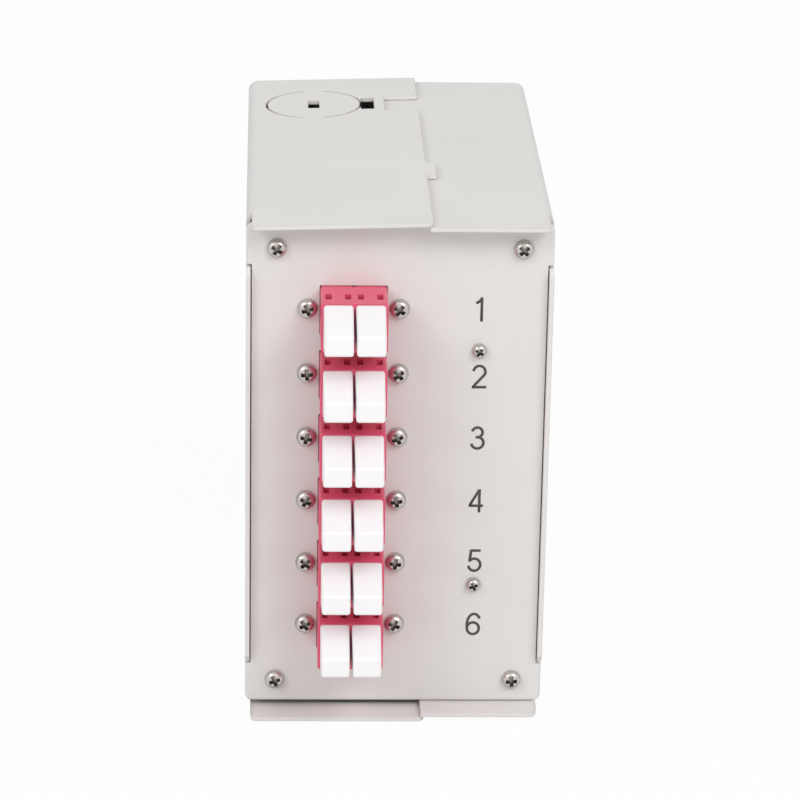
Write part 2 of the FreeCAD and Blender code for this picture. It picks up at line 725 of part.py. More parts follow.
def screws(body, head, shank, length, columns, pitch, count):
    """Pan head screws along +Y from their seat, in columns across and repeated upwards."""
    turns = []
    for index, column in enumerate(columns):
        profile = sketch_on(body, f"profile_{index}", "XY_Plane", "0")
        profile.setExpression(".AttachmentOffset.Base.x", link(column))
        crown = [(f"{wide} * {head}", f"-{high} * head_height") for wide, high in CROWN]
        stem = [("0", length), (f"{shank} / 2", length), (f"{shank} / 2", "0")]
        outline(profile, stem + crown + [("0", "-head_height")])
        turns.append(revolve(body, profile, "V_Axis"))
    pattern(body, turns, "Z_Axis", pitch, count)


def revolve(body, profile, axis):
    turn = feature(body, "Revolution", f"{profile.Name}_turn")
    turn.Profile = profile
    turn.ReferenceAxis = (profile, [axis])
    turn.Angle = 360
    return turn


def hex_nuts(body, flats, thick, bore, columns):
    """Hex nuts along +Y from their seat at the body's origin, in columns across."""
    plan = front_sketch(body, "plan", thick)
    half = f"({flats} / 2)"
    corner = f"({flats} / {ROOT_THREE})"
    for column in columns:
        outline(plan, [
            (column, corner), (f"{column} - {half}", f"{corner} / 2"), (f"{column} - {half}", f"-{corner} / 2"),
            (column, f"-{corner}"), (f"{column} + {half}", f"-{corner} / 2"), (f"{column} + {half}", f"{corner} / 2"),
        ])
        circle(plan, column, "0", bore)
    return pad(body, plan, thick)


def make_panel_fasteners():
    """Screws and nuts of the adapters, of the panel's corners and of the splice bracket."""
    columns = ["-screw_spacing / 2", "screw_spacing / 2"]
    lowest = row_height(ROWS - 1)
    body = new_body("adapter_screws")
    place(body, "-adapter_offset", PANEL, lowest)
    screws(body, "adapter_head", "adapter_shank", "adapter_screw_length", columns, "row_pitch", ROWS)
    body = new_body("adapter_nuts")
    place(body, "-adapter_offset", f"{PANEL} + {FLANGE_BACK}", lowest)
    nuts = hex_nuts(body, "nut_flats", "nut_thick", "adapter_shank + thread_gap", columns)
    pattern(body, [nuts], "Z_Axis", "row_pitch", ROWS)

    columns = [f"-{CORNER_X}", CORNER_X]
    low = f"{MIDDLE} - {CORNER_Z}"
    body = new_body("panel_screws")
    place(body, "0", PANEL, low)
    screws(body, "corner_head", "corner_shank", "corner_screw_length", columns, f"2 * {CORNER_Z}", 2)
    body = new_body("panel_nuts")
    place(body, "0", f"{PANEL_BACK} + steel", low)
    ring = front_sketch(body, "ring", "nut_thick")
    for column in columns:
        circle(ring, column, "0", "press_nut_diameter")
        circle(ring, column, "0", "corner_shank + thread_gap")
    pattern(body, [pad(body, ring, "nut_thick")], "Z_Axis", f"2 * {CORNER_Z}", 2)

    low = f"{MIDDLE} - bracket_pitch / 2"
    body = new_body("bracket_screws")
    place(body, "bracket_offset", PANEL, low)
    screws(body, "bracket_head", "bracket_shank", "bracket_screw_length", ["0"], "bracket_pitch", 2)
    body = new_body("bracket_nuts")
    place(body, "bracket_offset", f"{PANEL_BACK} + steel", low)
    nuts = hex_nuts(body, "nut_flats", "nut_thick", "bracket_shank + thread_gap", ["0"])
    pattern(body, [nuts], "Z_Axis", "bracket_pitch", 2)


def make_splice_bracket():
    """Steel angle behind the panel that carries the splice tray along the right wall."""
    body = new_body("splice_bracket")
    low = f"{MIDDLE} - bracket_height / 2"
    section = plan_sketch(body, "section", low)
    leg_start = "(bracket_offset - bracket_width / 2)"
    leg_end = f"({TRAY_CENTRE} + core_pitch / 2 + bracket_margin)"
    outline(section, [
        (leg_start, PANEL_BACK),
        (BRACKET_OUTER, PANEL_BACK),
        (BRACKET_OUTER, leg_end),
        (BRACKET_INNER, leg_end),
        (BRACKET_INNER, f"{PANEL_BACK} + steel"),
        (leg_start, f"{PANEL_BACK} + steel"),
    ])
    pad(body, section, "bracket_height")
    fillet(body, BEND_OUTER, x=[BRACKET_OUTER], y=[PANEL_BACK])
    fillet(body, "bend_inner", x=[BRACKET_INNER], y=[f"{PANEL_BACK} + steel"])
    holes = front_sketch(body, "panel_holes", PANEL_BACK)
    for sign in ("-", "+"):
        circle(holes, "bracket_offset", f"{MIDDLE} {sign} bracket_pitch / 2", "bracket_shank + hole_gap")
    pocket(body, holes, "2 * steel")
    holes = side_sketch(body, "tray_holes", BRACKET_OUTER)
    for sign in ("-", "+"):
        circle(holes, f"{TRAY_CENTRE} {sign} core_pitch / 2", f"{MIDDLE} - core_drop", "tray_shank + thread_gap")
    pocket(body, holes, "2 * steel")


def make_splice_tray():
    """Moulded tray with a rim, two winding cores and fibre entries, open towards the cover."""
    body = new_body("splice_tray")
    floor = side_sketch(body, "floor", BRACKET_INNER)
    half_height = "(tray_height / 2)"
    ends = (TRAY_FRONT, TRAY_END, f"{MIDDLE} - {half_height}", f"{MIDDLE} + {half_height}")
    rectangle(floor, *ends)
    pad(body, floor, "tray_depth", backwards=True)
    well = side_sketch(body, "well", f"{BRACKET_INNER} - tray_depth")
    inner = [f"{ends[0]} + tray_wall", f"{ends[1]} - tray_wall", f"{ends[2]} + tray_wall", f"{ends[3]} - tray_wall"]
    rectangle(well, *inner)
    pocket(body, well, "tray_depth - tray_wall", backwards=True)
    fillet(body, "tray_corner - tray_wall", y=inner[:2], z=inner[2:])
    fillet(body, "tray_corner", y=ends[:2], z=ends[2:])
    cores = side_sketch(body, "cores", f"{BRACKET_INNER} - tray_wall")
    holes = side_sketch(body, "core_holes", BRACKET_INNER)
    for sign in ("-", "+"):
        middle = f"{TRAY_CENTRE} {sign} core_pitch / 2"
        circle(cores, middle, f"{MIDDLE} - core_drop", "core_diameter")
        circle(cores, middle, f"{MIDDLE} - core_drop", "core_diameter - 2 * tray_wall")
        circle(holes, middle, f"{MIDDLE} - core_drop", "tray_shank + hole_gap")
    pad(body, cores, "tray_depth - 2 * tray_wall", backwards=True)
    pocket(body, holes, "2 * tray_wall")
    entries = side_sketch(body, "entries", f"{BRACKET_INNER} - tray_depth")
    for sign in ("-", "+"):
        middle = f"{TRAY_CENTRE} {sign} core_pitch / 2"
        rectangle(entries, f"{middle} - entry_width / 2", f"{middle} + entry_width / 2",
                  f"{ends[2]} - cut_margin", inner[2])
    pocket(body, entries, "tray_depth - tray_wall", backwards=True)

    lid = new_body("tray_lid")
    cover = side_sketch(lid, "cover", f"{BRACKET_INNER} - tray_depth")
    rectangle(cover, *ends)
    pad(lid, cover, "lid_thick", backwards=True)
    fillet(lid, "tray_corner", y=ends[:2], z=ends[2:])
    grip = side_sketch(lid, "grip", f"{BRACKET_INNER} - tray_depth")
    circle(grip, TRAY_CENTRE, ends[3], "2 * entry_width")
    pocket(lid, grip, backwards=False)

    holder = new_body("splice_holder")
    block = side_sketch(holder, "block", f"{BRACKET_INNER} - tray_wall")
    low = f"({MIDDLE} + holder_raise - holder_height / 2)"
    rectangle(block, f"{TRAY_CENTRE} - holder_length / 2", f"{TRAY_CENTRE} + holder_length / 2",
              low, f"{low} + holder_height")
    pad(holder, block, "holder_thick", backwards=True)
    groove = side_sketch(holder, "groove", f"{BRACKET_INNER} - tray_wall - holder_thick")
    rectangle(groove, f"{TRAY_CENTRE} - holder_length", f"{TRAY_CENTRE} + holder_length",
              f"{low} + groove_pitch / 2 - groove / 4", f"{low} + groove_pitch / 2 + 3 * groove / 4")
    cut = pocket(holder, groove, "holder_thick - tray_wall", backwards=True)
    pattern(holder, [cut], "Z_Axis", "groove_pitch", ROWS)

    screws = new_body("tray_screws")
    place(screws, f"{BRACKET_INNER} - tray_wall", f"{TRAY_CENTRE} - core_pitch / 2", f"{MIDDLE} - core_drop")
    profile = sketch_on(screws, "profile", "XY_Plane", "0")
    crown = [(f"-{high} * head_height", f"{wide} * tray_head") for wide, high in CROWN]
    stem = [("tray_screw_length", "0"), ("tray_screw_length", "tray_shank / 2"), ("0", "tray_shank / 2")]
    outline(profile, stem + crown + [("-head_height", "0")])
    pattern(screws, [revolve(screws, profile, "H_Axis")], "Y_Axis", "core_pitch", 2)


def make_rail_clip():
    """Clip body with a fixed upper hook and a channel for the sprung latch."""
    body = new_body("rail_clip")
    top = f"({MIDDLE} + {RAIL_HALF})"
    bottom = f"({MIDDLE} - {RAIL_HALF} - clip_over)"
    hook_back = f"({RAIL_FACE} + rail_edge + clip_hook)"
    section = side_sketch(body, "section", "-clip_width / 2")
    outline(section, [
        (BACK, bottom),
        (RAIL_FACE, bottom),
        (RAIL_FACE, f"{top} + clip_gap"),
        (f"{RAIL_FACE} + rail_edge", f"{top} + clip_gap"),
        (f"{RAIL_FACE} + rail_edge", f"{top} - clip_lip"),
        (hook_back, f"{top} - clip_lip / 2"),
        (hook_back, f"{top} + clip_gap + clip_lip"),
        (f"{RAIL_FACE}", f"{top} + clip_over"),
        (BACK, f"{top} + clip_over"),
    ])
    pad(body, section, "clip_width")

    channel_half = "(latch_width / 2 + clip_gap)"
    channel_top = f"{MIDDLE} - latch_top + clip_gap"
    channel = front_sketch(body, "channel", BACK)
    rectangle(channel, f"-{channel_half}", channel_half, f"{bottom} - cut_margin", channel_top)
    pocket(body, channel, "latch_thick + 2 * clip_gap")
    fork = front_sketch(body, "fork", BACK)
    rectangle(fork, f"-{channel_half}", channel_half, f"{bottom} - cut_margin", f"{MIDDLE} - {RAIL_HALF}")
    pocket(body, fork)
    ledge = front_sketch(body, "ledge", f"{LATCH_BACK} + clip_gap")
    ledge_low = f"({MIDDLE} - latch_top - latch_bar - spring_window + clip_gap)"
    rectangle(ledge, "-spring_span / 2", "spring_span / 2", ledge_low, f"{ledge_low} + spring_ledge")
    pad(body, ledge, "latch_thick")

    for name, diameter, depth in (("bores", "clip_shank + hole_gap", "clip_thick"),
                                  ("head_seats", "clip_head + hole_gap", "head_height + clip_gap")):
        holes = front_sketch(body, name, RAIL_FACE)
        for sign in ("-", ""):
            circle(holes, f"{sign}clip_pitch / 2", MIDDLE, diameter)
        pocket(body, holes, depth, backwards=True)


def make_rail_latch():
    """Sliding latch with the lower hook, a window for its spring and a foot to pull it by."""
    body = new_body("rail_latch")
    latch_front = f"({BACK} + clip_gap)"
    top = f"({MIDDLE} - latch_top)"
    foot = f"({MIDDLE} - latch_foot)"
    rail_bottom = f"({MIDDLE} - {RAIL_HALF})"
    hook_back = f"({RAIL_FACE} + rail_edge + clip_hook)"
    section = side_sketch(body, "section", "-latch_width / 2")
    outline(section, [
        (latch_front, foot),
        (LATCH_BACK, foot),
        (LATCH_BACK, f"{rail_bottom} - clip_over"),
        (hook_back, f"{rail_bottom} - clip_lip"),
        (hook_back, f"{rail_bottom} + clip_lip / 2"),
        (f"{RAIL_FACE} + rail_edge", f"{rail_bottom} + clip_lip"),
        (f"{RAIL_FACE} + rail_edge", f"{rail_bottom} - clip_gap"),
        (LATCH_BACK, f"{rail_bottom} - clip_gap"),
        (LATCH_BACK, top),
        (latch_front, top),
    ])
    pad(body, section, "latch_width")
    window = front_sketch(body, "window", latch_front)
    window_top = f"{top} - latch_bar"
    rectangle(window, "-spring_span / 2 - clip_gap", "spring_span / 2 + clip_gap",
              f"{window_top} - spring_window", window_top)
    pocket(body, window, "2 * latch_thick")
    slot = front_sketch(body, "release_slot", latch_front)
    rectangle(slot, "-latch_slot_width / 2", "latch_slot_width / 2",
              f"{foot} + latch_slot_height", f"{foot} + 2 * latch_slot_height")
    pocket(body, slot, "2 * latch_thick")


def make_latch_spring():
    """Bowed spring strip between the clip's ledge and the top of the latch's window."""
    window_top = number(f"{MIDDLE} - latch_top - latch_bar")
    seat = number(f"{MIDDLE} - latch_top - latch_bar - spring_window + clip_gap + spring_ledge")
    gap = number("clip_gap") / 3
    thick = number("spring_thick")
    half = number("spring_span") / 2 - gap
    low = seat + gap
    high = window_top - gap
    corners = [
        FreeCAD.Vector(-half, 0, low),
        FreeCAD.Vector(0, 0, high),
        FreeCAD.Vector(half, 0, low),
        FreeCAD.Vector(half - thick, 0, low),
        FreeCAD.Vector(0, 0, high - thick),
        FreeCAD.Vector(thick - half, 0, low),
    ]
    edges = [
        Part.Arc(corners[0], corners[1], corners[2]).toShape(),
        Part.LineSegment(corners[2], corners[3]).toShape(),
        Part.Arc(corners[3], corners[4], corners[5]).toShape(),
        Part.LineSegment(corners[5], corners[0]).toShape(),
    ]
    strip = Part.Face(Part.Wire(edges)).extrude(FreeCAD.Vector(0, number("latch_thick"), 0))
    spring = doc.addObject("Part::Feature", "latch_spring")
    spring.Label = "latch_spring"
    spring.Shape = strip
    spring.Placement = FreeCAD.Placement(FreeCAD.Vector(0, number(f"{BACK} + clip_gap"), 0), FreeCAD.Rotation())
    SUBPARTS.append(spring)


def make_clip_fasteners():
    """Two screws from the rail side through the clip and the back wall, with nuts inside."""
    screws = new_body("clip_screws")
    place(screws, "-clip_pitch / 2", f"{RAIL_FACE} - head_height - clip_gap", MIDDLE)
    profile = sketch_on(screws, "profile", "XY_Plane", "0")
    crown = [(f"{wide} * clip_head", f"{high} * head_height") for wide, high in CROWN]
    stem = [("0", "-clip_screw_length"), ("clip_shank / 2", "-clip_screw_length"), ("clip_shank / 2", "0")]
    outline(profile, stem + crown + [("0", "head_height")])
    pattern(screws, [revolve(screws, profile, "V_Axis")], "X_Axis", "clip_pitch", 2)
    nuts = new_body("clip_nuts")
    place(nuts, "0", f"{BACK} - steel - clip_nut_thick", MIDDLE)
    hex_nuts(nuts, "clip_nut_flats", "clip_nut_thick", "clip_shank + thread_gap",
             ["-clip_pitch / 2", "clip_pitch / 2"])


make_base_shell()
make_cover_shell()
make_front_panel()
for row in range(ROWS):
    make_adapter(row)
    for letter, sign in (("a", "-"), ("b", "+")):
        make_sleeve(row, letter, sign)
        make_dust_cap(row, letter, sign)
make_panel_fasteners()
make_splice_bracket()
make_splice_tray()
make_rail_clip()
make_rail_latch()
make_latch_spring()
make_clip_fasteners()
doc.recompute()

# Every feature has to be sound before anything is written
for item in doc.Objects:
    if {"Invalid", "Error"} & set(item.State):
        raise RuntimeError(f"{item.Label} failed: {item.State}")
for item in SUBPARTS:
    if item.Shape.isNull() or not item.Shape.isValid():
        raise RuntimeError(f"{item.Label} has no valid shape")

os.makedirs("parts", exist_ok=True)
for item in SUBPARTS:
    item.Shape.exportStep(f"parts/{item.Label}.step")
    print(item.Label, len(item.Shape.Solids), round(item.Shape.Volume, 2))
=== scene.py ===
import math

import bpy
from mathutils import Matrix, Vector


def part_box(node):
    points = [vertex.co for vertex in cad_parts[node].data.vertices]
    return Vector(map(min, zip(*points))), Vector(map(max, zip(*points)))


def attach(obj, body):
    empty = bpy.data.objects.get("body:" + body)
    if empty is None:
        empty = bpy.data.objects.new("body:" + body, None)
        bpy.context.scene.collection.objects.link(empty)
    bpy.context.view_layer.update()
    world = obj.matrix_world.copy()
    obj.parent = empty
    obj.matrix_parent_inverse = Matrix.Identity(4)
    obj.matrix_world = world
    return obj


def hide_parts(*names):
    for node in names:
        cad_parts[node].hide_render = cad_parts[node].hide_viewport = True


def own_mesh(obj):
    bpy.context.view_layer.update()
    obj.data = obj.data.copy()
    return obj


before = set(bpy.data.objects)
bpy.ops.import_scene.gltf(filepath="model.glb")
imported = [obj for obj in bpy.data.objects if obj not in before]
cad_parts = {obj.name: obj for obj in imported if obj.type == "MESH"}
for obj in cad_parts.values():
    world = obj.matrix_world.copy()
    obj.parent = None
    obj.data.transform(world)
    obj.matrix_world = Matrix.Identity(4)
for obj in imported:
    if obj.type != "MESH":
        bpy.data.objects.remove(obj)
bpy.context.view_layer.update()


# Base shell: the right half of the case, folded from sheet steel with its back wall, top and bottom.
# It is powder coated light grey after folding, which leaves a satin skin with a very fine orange peel
# and softens the cut edges.
mm = 0.001


def powder_coat(name, light, dark, edge):
    coat = bpy.data.materials.new(name)
    coat.use_nodes = True
    nodes = coat.node_tree.nodes
    links = coat.node_tree.links
    shader = nodes["Principled BSDF"]
    shader.inputs["IOR"].default_value = 1.5
    place = nodes.new("ShaderNodeTexCoord")

    clouds = nodes.new("ShaderNodeTexNoise")
    clouds.inputs["Scale"].default_value = 45.0
    clouds.inputs["Detail"].default_value = 3.0
    links.new(place.outputs["Object"], clouds.inputs["Vector"])
    shades = nodes.new("ShaderNodeValToRGB")
    shades.color_ramp.elements[0].position = 0.3
    shades.color_ramp.elements[0].color = (*dark, 1.0)
    shades.color_ramp.elements[1].position = 0.7
    shades.color_ramp.elements[1].color = (*light, 1.0)
    links.new(clouds.outputs["Fac"], shades.inputs["Fac"])
    links.new(shades.outputs["Color"], shader.inputs["Base Color"])

    peel = nodes.new("ShaderNodeTexNoise")
    peel.inputs["Scale"].default_value = 2200.0
    peel.inputs["Detail"].default_value = 2.0
    links.new(place.outputs["Object"], peel.inputs["Vector"])
    gloss = nodes.new("ShaderNodeMapRange")
    gloss.inputs["To Min"].default_value = 0.52
    gloss.inputs["To Max"].default_value = 0.66
    links.new(peel.outputs["Fac"], gloss.inputs["Value"])
    links.new(gloss.outputs["Result"], shader.inputs["Roughness"])
    skin = nodes.new("ShaderNodeBump")
    skin.inputs["Strength"].default_value = 0.25
    skin.inputs["Distance"].default_value = 0.03 * mm
    links.new(peel.outputs["Fac"], skin.inputs["Height"])
    rounding = nodes.new("ShaderNodeBevel")
    rounding.inputs["Radius"].default_value = edge
    links.new(rounding.outputs["Normal"], skin.inputs["Normal"])
    links.new(skin.outputs["Normal"], shader.inputs["Normal"])
    return coat


def dress(node, material):
    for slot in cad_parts[node].material_slots:
        slot.material = material


grey_coat = powder_coat(
    "grey_powder_coat",
    light=(0.755, 0.738, 0.720),
    dark=(0.735, 0.718, 0.700),
    edge=0.3 * mm,
)
dress("base_shell", grey_coat)


# Splice bracket: a small angle of zinc plated steel, screwed behind the panel to carry the tray.
# The nuts behind the panel and on the back wall have the same plating.
def plated_steel(name, colour, roughness, grain_scale):
    plate = bpy.data.materials.new(name)
    plate.use_nodes = True
    nodes = plate.node_tree.nodes
    links = plate.node_tree.links
    shader = nodes["Principled BSDF"]
    shader.inputs["Metallic"].default_value = 1.0
    place = nodes.new("ShaderNodeTexCoord")
    grain = nodes.new("ShaderNodeTexNoise")
    grain.inputs["Scale"].default_value = grain_scale
    grain.inputs["Detail"].default_value = 4.0
    links.new(place.outputs["Object"], grain.inputs["Vector"])
    tone = nodes.new("ShaderNodeValToRGB")
    tone.color_ramp.elements[0].position = 0.25
    tone.color_ramp.elements[0].color = (*[0.88 * part for part in colour], 1.0)
    tone.color_ramp.elements[1].position = 0.75
    tone.color_ramp.elements[1].color = (*colour, 1.0)
    links.new(grain.outputs["Fac"], tone.inputs["Fac"])
    links.new(tone.outputs["Color"], shader.inputs["Base Color"])
    polish = nodes.new("ShaderNodeMapRange")
    polish.inputs["To Min"].default_value = 0.7 * roughness
    polish.inputs["To Max"].default_value = 1.3 * roughness
    links.new(grain.outputs["Fac"], polish.inputs["Value"])
    links.new(polish.outputs["Result"], shader.inputs["Roughness"])
    return plate


zinc = plated_steel("zinc_plate", colour=(0.62, 0.62, 0.60), roughness=0.32, grain_scale=900.0)
for node in ("splice_bracket", "panel_nuts", "adapter_nuts", "bracket_nuts", "clip_nuts"):
    dress(node, zinc)


# Splice tray: a moulded tray with rounded corners and two winding cores, and a comb for the splices.
# Both are pale grey plastic with the fine spark grain of a mould.
def moulded_plastic(name, light, dark, roughness, grain_scale, grain_depth, edge):
    plastic = bpy.data.materials.new(name)
    plastic.use_nodes = True
    nodes = plastic.node_tree.nodes
    links = plastic.node_tree.links
    shader = nodes["Principled BSDF"]
    shader.inputs["IOR"].default_value = 1.5
    place = nodes.new("ShaderNodeTexCoord")

    flow = nodes.new("ShaderNodeTexNoise")
    flow.inputs["Scale"].default_value = 120.0
    flow.inputs["Detail"].default_value = 3.0
    links.new(place.outputs["Object"], flow.inputs["Vector"])
    tone = nodes.new("ShaderNodeValToRGB")
    tone.color_ramp.elements[0].position = 0.3
    tone.color_ramp.elements[0].color = (*dark, 1.0)
    tone.color_ramp.elements[1].position = 0.7
    tone.color_ramp.elements[1].color = (*light, 1.0)
    links.new(flow.outputs["Fac"], tone.inputs["Fac"])
    links.new(tone.outputs["Color"], shader.inputs["Base Color"])

    grain = nodes.new("ShaderNodeTexNoise")
    grain.inputs["Scale"].default_value = grain_scale
    grain.inputs["Detail"].default_value = 2.0
    links.new(place.outputs["Object"], grain.inputs["Vector"])
    gloss = nodes.new("ShaderNodeMapRange")
    gloss.inputs["To Min"].default_value = 0.85 * roughness
    gloss.inputs["To Max"].default_value = 1.15 * roughness
    links.new(grain.outputs["Fac"], gloss.inputs["Value"])
    links.new(gloss.outputs["Result"], shader.inputs["Roughness"])
    skin = nodes.new("ShaderNodeBump")
    skin.inputs["Strength"].default_value = 0.3
    skin.inputs["Distance"].default_value = grain_depth
    links.new(grain.outputs["Fac"], skin.inputs["Height"])
    rounding = nodes.new("ShaderNodeBevel")
    rounding.inputs["Radius"].default_value = edge
    links.new(rounding.outputs["Normal"], skin.inputs["Normal"])
    links.new(skin.outputs["Normal"], shader.inputs["Normal"])
    return plastic


pale_plastic = moulded_plastic(
    "pale_tray_plastic",
    light=(0.72, 0.72, 0.70),
    dark=(0.66, 0.66, 0.64),
    roughness=0.45,
    grain_scale=2500.0,
    grain_depth=0.03 * mm,
    edge=0.2 * mm,
)
dress("splice_tray", pale_plastic)
dress("splice_holder", pale_plastic)

# Tray lid: a sheet of clear plastic over the fibres.
# It is left a little cloudy, as cut sheet is.
clear_plastic = moulded_plastic(
    "clear_lid_plastic",
    light=(0.84, 0.86, 0.87),
    dark=(0.80, 0.82, 0.84),
    roughness=0.18,
    grain_scale=900.0,
    grain_depth=0.01 * mm,
    edge=0.1 * mm,
)
clear_plastic.node_tree.nodes["Principled BSDF"].inputs["Transmission Weight"].default_value = 0.8
dress("tray_lid", clear_plastic)

# Front panel: a flat plate with six adapter cut-outs, coated like the shells.
# The port numbers are printed on it in dark grey, one beside each adapter, a little off their rows.
# Their strokes are drawn with a straight nib, in shares of a digit's height.
dress("front_panel", grey_coat)
panel_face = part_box("front_panel")[0][1]
port_rows = range(1, 7)
adapter_head = 4.0 * mm


def head_centres(node, axis, head):
    low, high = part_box(node)
    return low[axis] + head / 2, high[axis] - head / 2


bottom_row, top_row = head_centres("adapter_screws", 2, adapter_head)
row_pitch = (top_row - bottom_row) / (len(port_rows) - 1)
digit_height = 5.0 * mm
digit_left = 14.45 * mm
nib_width = 0.108 * digit_height
ink_lift = 0.04 * mm
ink_thick = 0.024 * mm
stroke_step = 0.004 * mm
print_shift = {1: -0.1 * mm, 2: -0.65 * mm, 3: -0.2 * mm, 4: -0.2 * mm, 5: 0.3 * mm, 6: -0.2 * mm}
bow_steps = 24
ink = moulded_plastic(
    "dark_print_ink",
    light=(0.072, 0.066, 0.061),
    dark=(0.060, 0.055, 0.051),
    roughness=0.55,
    grain_scale=1500.0,
    grain_depth=0.01 * mm,
    edge=0.01 * mm,
)


def bow(centre, radii, start, end):
    points = []
    for step in range(bow_steps + 1):
        turn = math.radians(start + (end - start) * step / bow_steps)
        across = centre[0] + radii[0] * math.cos(turn)
        upward = centre[1] + radii[1] * math.sin(turn)
        points.append((across, upward))
    return points


strokes_of = {
    1: [
        [(0.325, 0.0), (0.325, 1.0)],
        [(0.328, 0.955), (0.235, 0.835), (0.105, 0.755)],
    ],
    2: [
        bow((0.300, 0.700), (0.232, 0.246), 174, -36) + [(0.115, 0.135), (0.070, 0.060)],
        [(0.012, 0.054), (0.580, 0.054)],
    ],
    3: [
        bow((0.282, 0.738), (0.205, 0.208), 168, -84),
        [(0.215, 0.532), (0.315, 0.530)],
        bow((0.288, 0.296), (0.240, 0.242), 84, -170),
    ],
    4: [
        [(0.428, 0.0), (0.428, 0.995)],
        [(0.412, 0.955), (0.058, 0.325)],
        [(0.010, 0.288), (0.580, 0.288)],
    ],
    5: [
        [(0.140, 0.932), (0.535, 0.932)],
        [(0.158, 0.965), (0.100, 0.455)],
        bow((0.292, 0.318), (0.242, 0.264), 148, -170),
    ],
    6: [
        bow((0.302, 0.312), (0.242, 0.258), 0, 360),
        bow((0.338, 0.455), (0.282, 0.491), 36, 188),
    ],
}
nib_shape = bpy.data.curves.new("nib", "CURVE")
nib_line = nib_shape.splines.new("POLY")
nib_line.points.add(1)
nib_line.points[0].co = (-nib_width / 2, 0, 0, 1)
nib_line.points[1].co = (nib_width / 2, 0, 0, 1)
nib = bpy.data.objects.new("nib", nib_shape)
bpy.context.collection.objects.link(nib)
for number, strokes in strokes_of.items():
    bpy.ops.object.select_all(action="DESELECT")
    for index, stroke in enumerate(strokes):
        shape = bpy.data.curves.new(f"port_number_{number}", "CURVE")
        shape.dimensions = "2D"
        shape.bevel_mode = "OBJECT"
        shape.bevel_object = nib
        line = shape.splines.new("POLY")
        line.points.add(len(stroke) - 1)
        for point, (x, y) in zip(line.points, stroke):
            point.co = (x * digit_height, y * digit_height, 0, 1)
        digit = bpy.data.objects.new(f"port_number_{number}", shape)
        bpy.context.collection.objects.link(digit)
        digit.location = (0, 0, index * stroke_step)
        digit.select_set(True)
        bpy.context.view_layer.objects.active = digit
    bpy.ops.object.convert(target="MESH")
    bpy.ops.object.transform_apply(location=True, rotation=True, scale=True)
    bpy.ops.object.join()
    digit = bpy.context.object
    digit.name = f"port_number_{number}"
    digit.rotation_euler = (math.radians(90), 0, 0)
    row_height = top_row - (number - 1) * row_pitch
    digit_foot = row_height - digit_height / 2 + print_shift[number]
    digit.location = (digit_left, panel_face - ink_lift + 2 * stroke_step, digit_foot)
    bpy.ops.object.transform_apply(location=True, rotation=True, scale=True)
    bpy.ops.object.mode_set(mode="EDIT")
    bpy.ops.mesh.select_all(action="SELECT")
    bpy.ops.mesh.extrude_region_move(TRANSFORM_OT_translate={"value": (0, ink_thick, 0)})
    bpy.ops.mesh.select_all(action="SELECT")
    bpy.ops.mesh.normals_make_consistent(inside=False)
    bpy.ops.object.mode_set(mode="OBJECT")
    digit.data.materials.clear()
    digit.data.materials.append(ink)
    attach(digit, "case")
bpy.data.objects.remove(nib)

# Adapters: six duplex housings moulded in rose plastic, put in from behind and screwed by their flanges.
# The moulding is fairly glossy, so its top takes on the light of the room.
rose_plastic = moulded_plastic(
    "rose_adapter_plastic",
    light=(0.790, 0.098, 0.188),
    dark=(0.760, 0.091, 0.176),
    roughness=0.32,
    grain_scale=1600.0,
    grain_depth=0.02 * mm,
    edge=0.15 * mm,
)
for row in port_rows:
    dress(f"adapter_{row}", rose_plastic)

# Alignment sleeves: split tubes of white ceramic, one in each port.
# They are ground and polished, so they are the smoothest surface in the box.
ceramic = moulded_plastic(
    "white_ceramic",
    light=(0.88, 0.87, 0.83),
    dark=(0.85, 0.84, 0.80),
    roughness=0.12,
    grain_scale=3000.0,
    grain_depth=0.004 * mm,
    edge=0.05 * mm,
)
for row in port_rows:
    for letter in "ab":
        dress(f"sleeve_{row}{letter}", ceramic)

# Dust caps: soft white plastic plugs with a wedge grip, pushed into the front of each port.
# The plastic is slightly waxy and lets a little light in.
cap_plastic = moulded_plastic(
    "white_cap_plastic",
    light=(0.950, 0.930, 0.940),
    dark=(0.930, 0.910, 0.920),
    roughness=0.42,
    grain_scale=1400.0,
    grain_depth=0.02 * mm,
    edge=0.3 * mm,
)
cap_shader = cap_plastic.node_tree.nodes["Principled BSDF"]
cap_shader.inputs["Subsurface Weight"].default_value = 0.15
cap_shader.inputs["Subsurface Radius"].default_value = (1.0, 0.95, 0.97)
cap_shader.inputs["Subsurface Scale"].default_value = 1.0 * mm
for row in port_rows:
    for letter in "ab":
        dress(f"dust_cap_{row}{letter}", cap_plastic)

# Adapter screws: nickel plated pan heads with a cross recess, two through the flange of each adapter.
# A head is turned in rings from its shank, and the recess gets a darker, rougher nickel whose darkness is
# painted shade in the hollow.
# Each screw ends its turn at its own angle.
nickel = plated_steel("bright_nickel", colour=(0.60, 0.57, 0.54), roughness=0.30, grain_scale=1500.0)
# Painted shade: the recess nickel is about half as bright as the head, standing in for the shade inside
# the cross.
recess_shade_nickel = plated_steel(
    "painted_shade_recess_nickel", colour=(0.30, 0.28, 0.26), roughness=0.40, grain_scale=1500.0
)
head_rings = [
    (0.0, 0.985), (0.04, 1.0), (0.20, 1.0), (0.40, 0.975), (0.60, 0.92),
    (0.78, 0.83), (0.91, 0.70), (0.98, 0.54), (1.0, 0.40),
]
ring_sides = 48
tip_share = 0.8
tip_length = 0.2
recess_reach = 0.80
recess_slot = 0.27
recess_depth = 0.75
recess_taper = 0.50
crease_angle = math.radians(35)
first_turn = 20
next_turn = 37


def raise_ring(rise, grow):
    bpy.ops.mesh.extrude_region_move(TRANSFORM_OT_translate={"value": (0, 0, rise)})
    bpy.ops.transform.resize(value=(grow, grow, 1))


